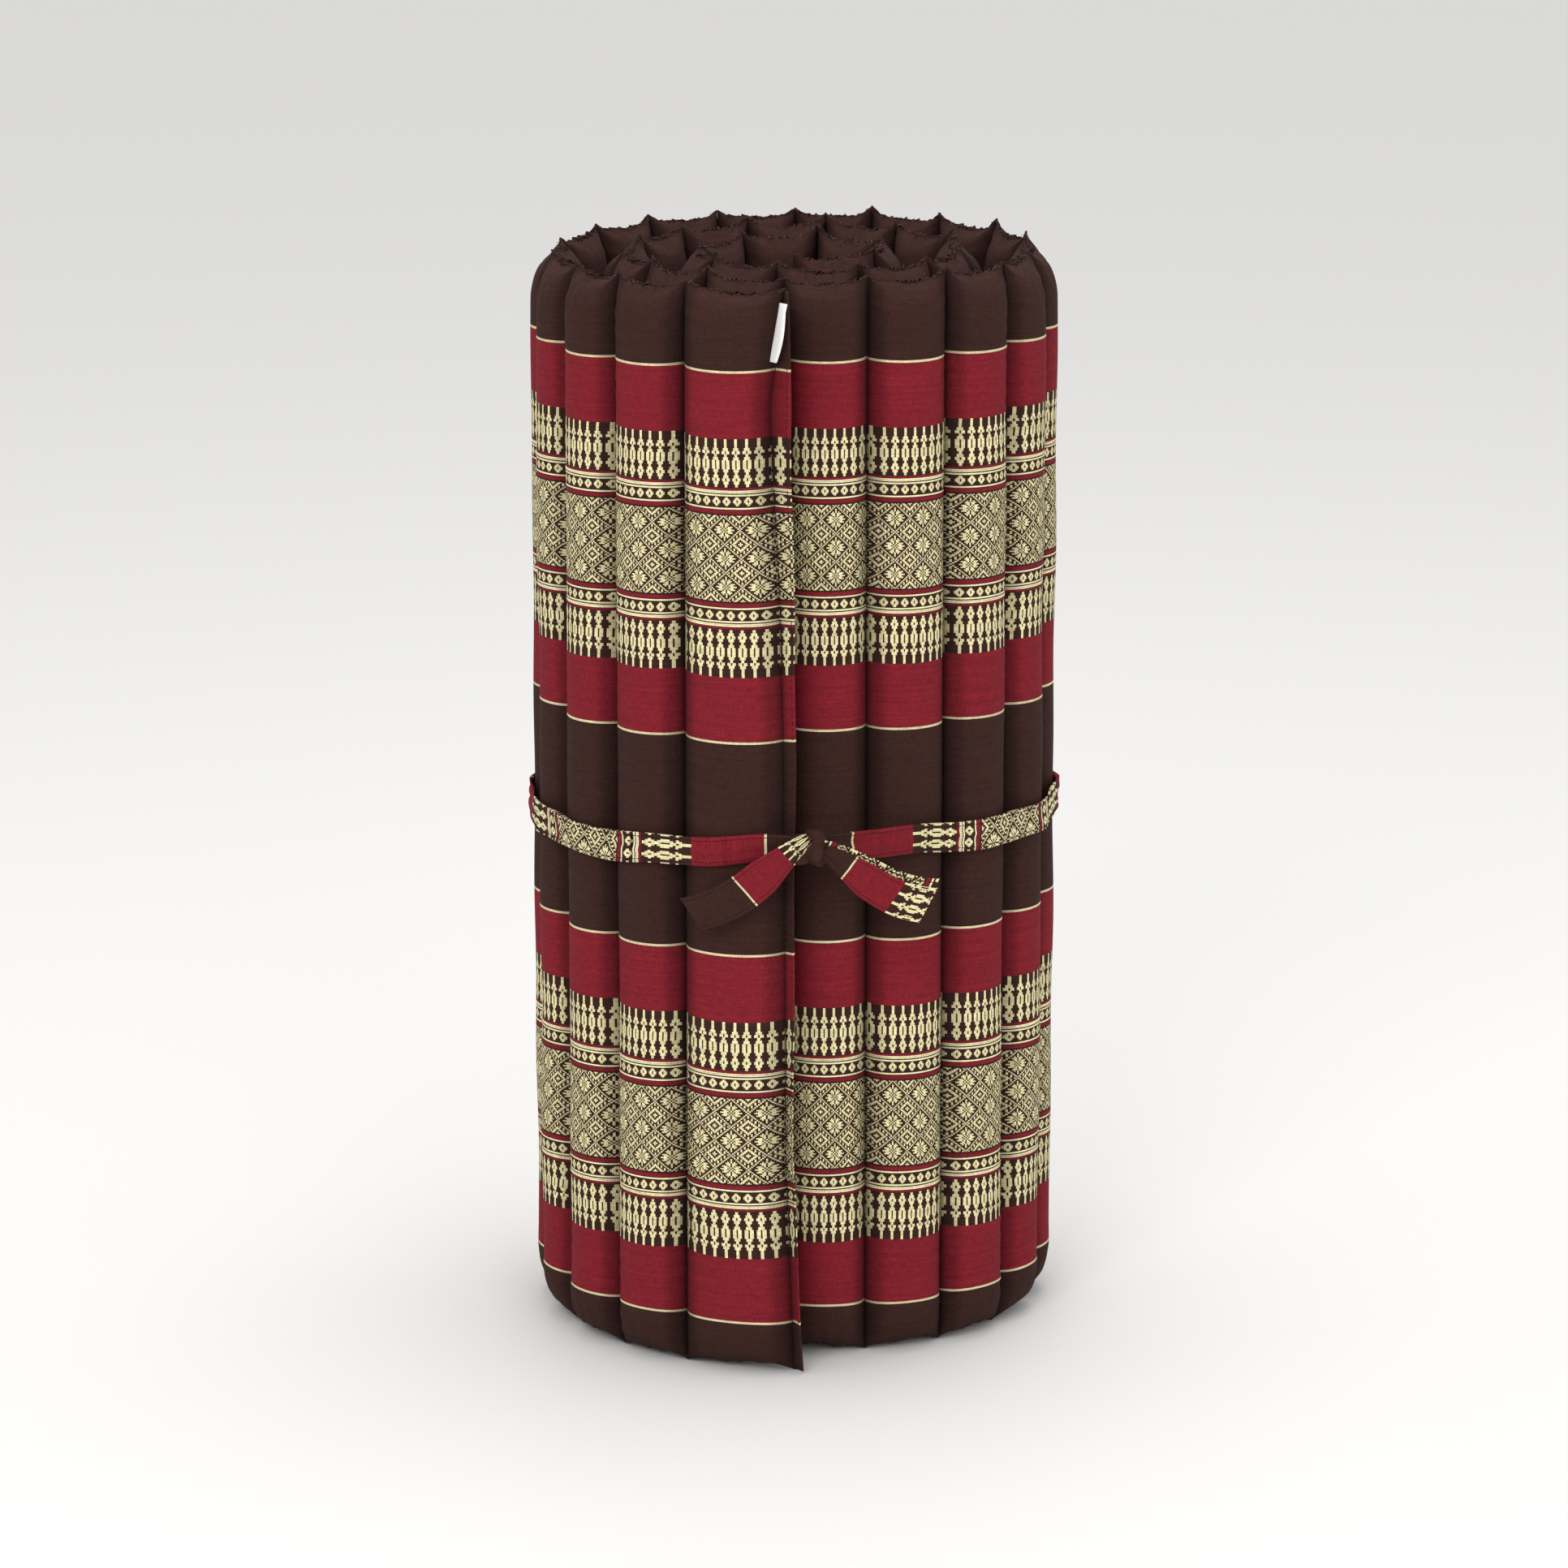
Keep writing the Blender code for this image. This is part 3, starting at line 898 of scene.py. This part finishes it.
for channel in channels:
    ridges, stitches = [], []
    outward = Vector((*channel.outward, 0.0))
    for top in (True, False):
        line = closing_line(channel, top)
        line = [at + Vector((0.0, 0.0, TOP_DROP if top else FOOT_LIFT)) for at in line]
        generator = np.random.default_rng(500 + channel.number + (0 if top else 60))
        knobs = generator.uniform(-1.0, 1.0, (len(line), 2))
        for at, (sideways, lift) in zip(line, knobs):
            at += outward * float(0.0006 * sideways) + Vector((0.0, 0.0, float(0.0004 * lift)))
        ridges.append(swept(line, RIDGE_HALF_THICKNESS, RIDGE_HALF_HEIGHT, 6,
                            lambda along: (outward - outward.dot(along) * along).normalized()))
        if not top:
            continue
        for k in range(STITCHES):
            at = (k + 0.5) / STITCHES * (len(line) - 1)
            low = int(at)
            centre = line[low].lerp(line[low + 1], at - low)
            along = (line[low + 1] - line[low]).normalized()
            up = along.cross(outward).normalized()
            if up.z < 0:
                up = -up
            arc = []
            for angle in (-1.25, -0.45, 0.45, 1.25):
                over = outward * (RIDGE_HALF_THICKNESS + STITCH_GAP) * math.sin(angle)
                over = centre + over + up * (RIDGE_HALF_HEIGHT + STITCH_GAP) * math.cos(angle)
                arc.append(over + along * 0.0012 * angle)
            stitches.append(swept(arc, STITCH_RADIUS, STITCH_RADIUS, 4, lambda direction: along))
    ridge = join_parts(f"closing_seam_{channel.number:02d}", ridges, brown_thread)
    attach(ridge, channel.body)
    thread = join_parts(f"closing_stitches_{channel.number:02d}", stitches, pale_thread)
    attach(thread, channel.body)

# %% [markdown]
# ## The loose end
# The mattress starts with a seam allowance: the two cloths go on past the last seam and are turned
# in and stitched twice. It is a flat strip that wanders, because the cloth was cut by eye.

# %% Seam allowance
FLANGE_ROWS = 150
FLANGE_PROFILE = [(0.0, 0.0011), (0.35, 0.0012), (0.8, 0.0012), (0.97, 0.0013), (1.0, 0.0002)]
FLANGE_FROM_SEAM = 0.0012
FLANGE_END_GAP = 0.002
STITCH_COUNT = 150
STITCH_SHARE = 0.68
THREAD_END_GAP = 0.006


def flange_point(share, v, z):
    flap = channels[0]
    root = flap_seam(z) + FLANGE_FROM_SEAM
    u = root + share * (flap_edge(z) - flap_seam(z) - FLANGE_FROM_SEAM)
    curl = 0.0032 * share + 0.0034 * share ** 2 * math.sin(9.0 * z + 0.6)
    curl += 0.0012 * share * math.sin(41.0 * z)
    plan = flap.plan(float(u), float(v + curl))
    return Vector((plan.x, plan.y, z))


ring = FLANGE_PROFILE + [(share, -half) for share, half in reversed(FLANGE_PROFILE)]
points, uv = [], []
for row in range(FLANGE_ROWS + 1):
    z = FLANGE_END_GAP + (HEIGHT - 2 * FLANGE_END_GAP) * row / FLANGE_ROWS
    for share, v in ring:
        points.append(flange_point(share, v, z))
        uv.append((FLAT_PER_CHANNEL / 2 - 0.004 - share * 0.011, float(cloth_height(z))))
faces = closed_faces(FLANGE_ROWS + 1, len(ring))
flange = make_piece("loose_end_allowance", points, faces, cover_cloth)
if volume_of(flange) < 0:
    flange.data.flip_normals()
write_cloth_map(flange, uv)
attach(flange, "flap")

stitches = []
for share in (0.12, 0.82):
    for step in range(STITCH_COUNT):
        low = THREAD_END_GAP + (HEIGHT - 2 * THREAD_END_GAP) * step / STITCH_COUNT
        high = low + (HEIGHT - 2 * THREAD_END_GAP) / STITCH_COUNT * STITCH_SHARE
        ends = [flange_point(share, 0.0013, z) for z in (low, (low + high) / 2, high)]
        ends[1] += Vector((*channels[0].outward, 0.0)) * 0.0002
        side = Vector((*channels[0].along, 0.0))
        stitches.append(swept(ends, STITCH_RADIUS, STITCH_RADIUS, 4, lambda along: side))
thread = join_parts("loose_end_stitches", stitches, brown_thread)
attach(thread, "flap")

# %% [markdown]
# ## The ribbon
# The ribbon is a strip of the same cloth, folded to two centimetres and pulled tight, so seen from
# above it is the convex hull of the roll. It is cut at the crest of each channel, so one length
# crosses one seam.

# %% The ribbon's path
TIE_HEIGHT = 0.371
BAND_LIFT = -0.0050
KNOT_LIFT = 0.0080
RIBBON_WIDTH = 0.021
RIBBON_THICKNESS = 0.0014
RIBBON_LIFT = 0.0012
KNOT = seams[0] + Vector((0.012, -0.016))
HALF_GAP_AT_KNOT = 0.0110
CLOTH_AT_KNOT = 0.726
RIBBON_STRETCH = 0.88


def cross_section(channel):
    """A channel's outer half at the ribbon's height, lifted by the ribbon's half thickness."""
    first = float(first_seam(channel, TIE_HEIGHT))
    centre, reach = (first + channel.half_width) / 2, (channel.half_width - first) / 2
    for step in range(25):
        angle = math.pi * step / 24
        across = math.copysign(abs(math.cos(angle)) ** 0.85, math.cos(angle))
        out = (OUTER_BULGE + RIBBON_LIFT + RIBBON_THICKNESS / 2) * math.sin(angle) ** 0.85
        lean = channel.lean[1] if across > 0 else channel.lean[-1]
        u = centre + across * reach * (1.0 + out * lean * SPREAD / channel.half_width)
        yield channel.plan(u, out)


left_end = KNOT - Vector((HALF_GAP_AT_KNOT, 0.0))
right_end = KNOT + Vector((HALF_GAP_AT_KNOT, 0.0))
cloud = [left_end, right_end] + [at for channel in channels[:19] for at in cross_section(channel)]
hull = [cloud[index] for index in convex_hull_2d(cloud)]
start = hull.index(left_end)
hull = hull[start:] + hull[:start]
if hull[-1] != right_end:
    hull = [hull[0]] + hull[:0:-1]
lengths = np.concatenate([[0.0], np.cumsum([(b - a).length for a, b in zip(hull, hull[1:])])])
ribbon_length = float(lengths[-1])
print("ribbon round the roll", round(ribbon_length, 3), "m")


def ribbon_place(distance):
    """The ribbon's middle line in plan, and the way outwards."""
    def at(d):
        d = min(max(d, 0.0), ribbon_length)
        return Vector((float(np.interp(d, lengths, [p.x for p in hull])),
                       float(np.interp(d, lengths, [p.y for p in hull]))))
    along = (at(distance + 0.003) - at(distance - 0.003)).normalized()
    return at(distance), Vector((-along.y, along.x))


# %% One length of ribbon
ACROSS = 8
RIBBON_STEP = 0.003
KNOT_GATHER, GATHER_FADE = 0.42, 0.022
LIFT_FADE = 0.09


def edge_thickness(across):
    """Half the ribbon's thickness: its folded edges are pressed thinner."""
    return RIBBON_THICKNESS / 2 * (1.0 - 0.75 * across ** 6)


def ribbon_section(distance):
    """A crumpled oval of points across the ribbon, with where they lie on the cloth."""
    centre, outward = ribbon_place(distance)
    from_knot = min(distance, ribbon_length - distance)
    gather = 1.0 - KNOT_GATHER * math.exp(-from_knot / GATHER_FADE)
    half = RIBBON_WIDTH / 2 * gather * (1.0 + 0.03 * math.sin(distance * 57))
    middle = TIE_HEIGHT + BAND_LIFT + (KNOT_LIFT - BAND_LIFT) * math.exp(-from_knot / LIFT_FADE)
    middle += 0.0014 * math.sin(distance * 23 + 0.7) + 0.0008 * math.sin(distance * 71)
    tilt = 0.0012 * math.sin(distance * 37) + 0.0006 * math.sin(distance * 131)
    ring, cloth = [], []
    for side in (1, -1):
        for k in range(ACROSS):
            across = 1.0 - 2.0 * k / (ACROSS - 1)
            crease = 0.0005 * math.sin(across * 7 + distance * 19)
            crease += 0.0003 * math.cos(across * 15 - distance * 44)
            crease *= 1.0 - across ** 2
            fold = 0.0016 * (1.0 / gather - 1.0) * math.cos(across * 9)
            lift = side * edge_thickness(across) + crease + tilt * across + fold
            plan = centre + outward * (lift + 0.0004)
            ring.append(Vector((plan.x, plan.y, middle + side * across * half)))
            cloth.append((side * across * RIBBON_WIDTH / 2 + 0.5,
                          CLOTH_AT_KNOT - RIBBON_STRETCH * from_knot))
    return ring, cloth


def round_strip(piece, sides):
    """Subdivides a strip. Its ends are turned in meanwhile, which keeps their rims sharp."""
    for face in piece.data.polygons[-2:]:
        face.flip()
    subdivide_once(piece)
    for face in piece.data.polygons[-2 * sides:]:
        face.flip()


def strip_piece(name, sections, material, rounded=False):
    """Joins closed sections into one strip with closed ends."""
    points = [point for ring, cloth in sections for point in ring]
    uv = [place for ring, cloth in sections for place in cloth]
    faces = closed_faces(len(sections), len(sections[0][0]))
    piece = make_piece(name, points, faces, material)
    if volume_of(piece) < 0:
        piece.data.flip_normals()
    write_cloth_map(piece, uv)
    if rounded:
        round_strip(piece, len(sections[0][0]))
    return piece


def nearest_distance(target):
    steps = np.arange(0.0, ribbon_length, 0.001)
    gaps = [(ribbon_place(float(d))[0] - target).length for d in steps]
    return float(steps[int(np.argmin(gaps))])


# %% The ribbon's lengths
crest_of = {}
for channel in channels[:13]:
    first = float(first_seam(channel, TIE_HEIGHT))
    plan = channel.plan((first + channel.half_width) / 2, OUTER_BULGE)
    crest_of[channel.number] = (nearest_distance(plan), Vector((plan.x, plan.y, TIE_HEIGHT)))
cuts = [0.0] + [crest_of[number][0] for number in range(1, 14)] + [ribbon_length]
for index, (begin, stop) in enumerate(zip(cuts, cuts[1:])):
    count = max(2, round((stop - begin) / RIBBON_STEP))
    sections = [ribbon_section(begin + (stop - begin) * k / count) for k in range(count + 1)]
    piece = strip_piece(f"ribbon_{index + 1:02d}", sections, ribbon_cloth)
    if index == 0:
        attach(piece, "flap")
    elif index == 13:
        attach(piece, "roll")
    else:
        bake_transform(piece)
    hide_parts("tie_band")

# %% [markdown]
# ## Knot and tails
# The two ends cross once and are pulled into a half knot. The knot is a small lump of pleated cloth
# with one turn of ribbon over it. The ends stand out on both sides with hemmed tips, and the right
# one is folded, so that a second layer shows behind it.


# %% Knot
def knot_lump(radii, centre, turn, pleats, depth, seed):
    """A pleated ball of cloth, from a sphere that is squeezed and creased."""
    bpy.ops.mesh.primitive_uv_sphere_add(segments=40, ring_count=24, radius=1.0)
    lump = bpy.context.object
    phase = np.random.default_rng(seed).uniform(0.0, math.tau, 3)
    for vertex in lump.data.vertices:
        direction = vertex.co.normalized()
        around = math.atan2(direction.z, direction.y)
        along = direction.x
        crease = math.sin(pleats * around + 2.4 * along + phase[0]) + 0.5 * math.sin(
            (pleats + 3) * around - 4.0 * along + phase[1])
        size = 1.0 + depth * crease * (1.0 - 0.6 * along ** 2)
        square = 1.0 + 0.12 * (1.0 - abs(along)) * math.cos(2 * around + phase[2])
        vertex.co = direction * size * square
    lump.data.transform(Matrix.Diagonal((*radii, 1.0)))
    lump.data.transform(Matrix.Rotation(math.radians(turn), 4, "Y"))
    lump.data.transform(Matrix.Translation(centre))
    return lump


knot_centre = Vector((KNOT.x, KNOT.y, TIE_HEIGHT + KNOT_LIFT))
LUMPS = (
    ((0.0150, 0.0080, 0.0092), (0.0, 0.0, 0.0), 14, 6, 0.11, 1),
    ((0.0088, 0.0104, 0.0122), (0.0025, -0.0012, 0.0), -12, 7, 0.10, 2),
    ((0.0100, 0.0066, 0.0070), (-0.0085, -0.0026, -0.0040), 20, 5, 0.13, 3),
    ((0.0105, 0.0062, 0.0066), (0.0098, -0.0022, -0.0040), 28, 5, 0.13, 4),
)
knot = join_pieces([knot_lump(radii, knot_centre + Vector(offset), *creases)
                    for radii, offset, *creases in LUMPS])
knot.name = "ribbon_knot"
while knot.data.uv_layers:
    knot.data.uv_layers.remove(knot.data.uv_layers[0])
knot.data.materials.clear()
knot.data.materials.append(ribbon_cloth)
knot.data.shade_smooth()
write_cloth_map(knot, [(vertex.co.z + 0.3, 0.727 + 0.5 * (vertex.co.x - KNOT.x))
                       for vertex in knot.data.vertices])
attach(knot, "flap")
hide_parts("tie_knot")

# %% Tails
TAIL_STEPS = 44
TAIL_WIDTH = 0.027
HEM_FROM = 0.93
OUT = Vector((0.0, -1.0, 0.0))


def tail_piece(name, side, length, drop, lean, cloth_from, cloth_way, root):
    """A ribbon end from the knot outwards. side is -1 to the left and 1 to the right."""
    sections = []
    hinge = knot_centre + Vector(root)
    for step in range(TAIL_STEPS + 1):
        share = step / TAIL_STEPS
        run = share * length
        angle = drop + math.radians(7) * math.sin(share * 2.6) - math.radians(6) * share
        level = run * math.cos(angle)
        back = math.sin(lean) * run - 0.0035 * math.sin(math.pi * share)
        centre = hinge + Vector((side * level, back, -run * math.sin(angle)))
        up = Vector((side * math.sin(angle), 0.0, math.cos(angle)))
        opened = 0.32 + 0.68 * min(1.0, share / 0.42) ** 0.8
        half = TAIL_WIDTH / 2 * opened
        twist = math.radians(16) * math.sin(share * 3.4 + (0.4 if side > 0 else 1.2))
        ring, cloth = [], []
        for face in (1, -1):
            for k in range(ACROSS):
                across = 1.0 - 2.0 * k / (ACROSS - 1)
                thick = edge_thickness(across)
                if share > HEM_FROM:
                    thick += 0.0004 * (1.0 - across ** 6)
                pleat = 0.0022 * (1.0 - opened) * math.cos(across * 8.5 + 0.5) / 0.6
                pleat += 0.0007 * math.sin(across * 4 + share * 9)
                place = face * across
                at = centre + up * (place * half * math.cos(twist))
                at += OUT * (face * thick + pleat + place * half * math.sin(twist))
                ring.append(at)
                cloth.append((place * TAIL_WIDTH / 2 + 0.5, cloth_from + cloth_way * run))
        sections.append((ring, cloth))
    return strip_piece(name, sections, tail_cloth, rounded=True)


tails = (
    ("ribbon_tail_left", "tail_left", -1, 0.098, 37, 5, 0.636, 1.25, (-0.002, -0.0105, 0.0085)),
    ("ribbon_tail_right", "tail_right", 1, 0.081, 31, 2, 0.7340, -1.25, (0.008, -0.0100, -0.0005)),
    ("ribbon_fold_right", "tail_right", 1, 0.082, 28, 0, 0.6160, -0.95, (0.007, -0.0055, 0.0020)),
)
for name, body, side, length, drop, lean, cloth_from, way, root in tails:
    piece = tail_piece(
        name, side, length, math.radians(drop), math.radians(lean), cloth_from, way, root)
    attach(piece, body)
    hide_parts(f"tie_{body}")

# %% [markdown]
# ## Side tape
# A folded white tape is caught in the seam near the top of the loose end. It stays blank.

# %% Tape
TAPE_TOP, TAPE_HEIGHT, TAPE_WIDTH = 0.7505, 0.040, 0.011
TAPE_ROWS = 20
TAPE_ANGLE = math.radians(-52)
sections = []
for row in range(TAPE_ROWS + 1):
    share = row / TAPE_ROWS
    z = TAPE_TOP - TAPE_HEIGHT * (1.0 - share)
    base = channels[0].plan(float(flap_seam(z)) + 0.0018 + 0.003 * (1.0 - share), 0.0040)
    reach = TAPE_WIDTH * (0.72 + 0.28 * math.sin(math.pi * min(1.0, share + 0.15)))
    ring, cloth = [], []
    for face in (1, -1):
        for k in range(5):
            out = k / 4 if face > 0 else 1.0 - k / 4
            swing = Vector((math.cos(TAPE_ANGLE), math.sin(TAPE_ANGLE)))
            swing += Vector((0.0, -0.25 * math.sin(share * 3.0) * out))
            plan = base + swing * (out * reach)
            normal = Vector((-swing.y, swing.x)).normalized()
            plan += normal * face * (0.00035 + 0.00025 * out * (1 - out) * 4)
            ring.append(Vector((plan.x, plan.y, z)))
            cloth.append((out * TAPE_WIDTH, z))
    sections.append((ring, cloth))
tape = strip_piece("side_tape", sections, label_tape)
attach(tape, "label")
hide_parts("side_label")
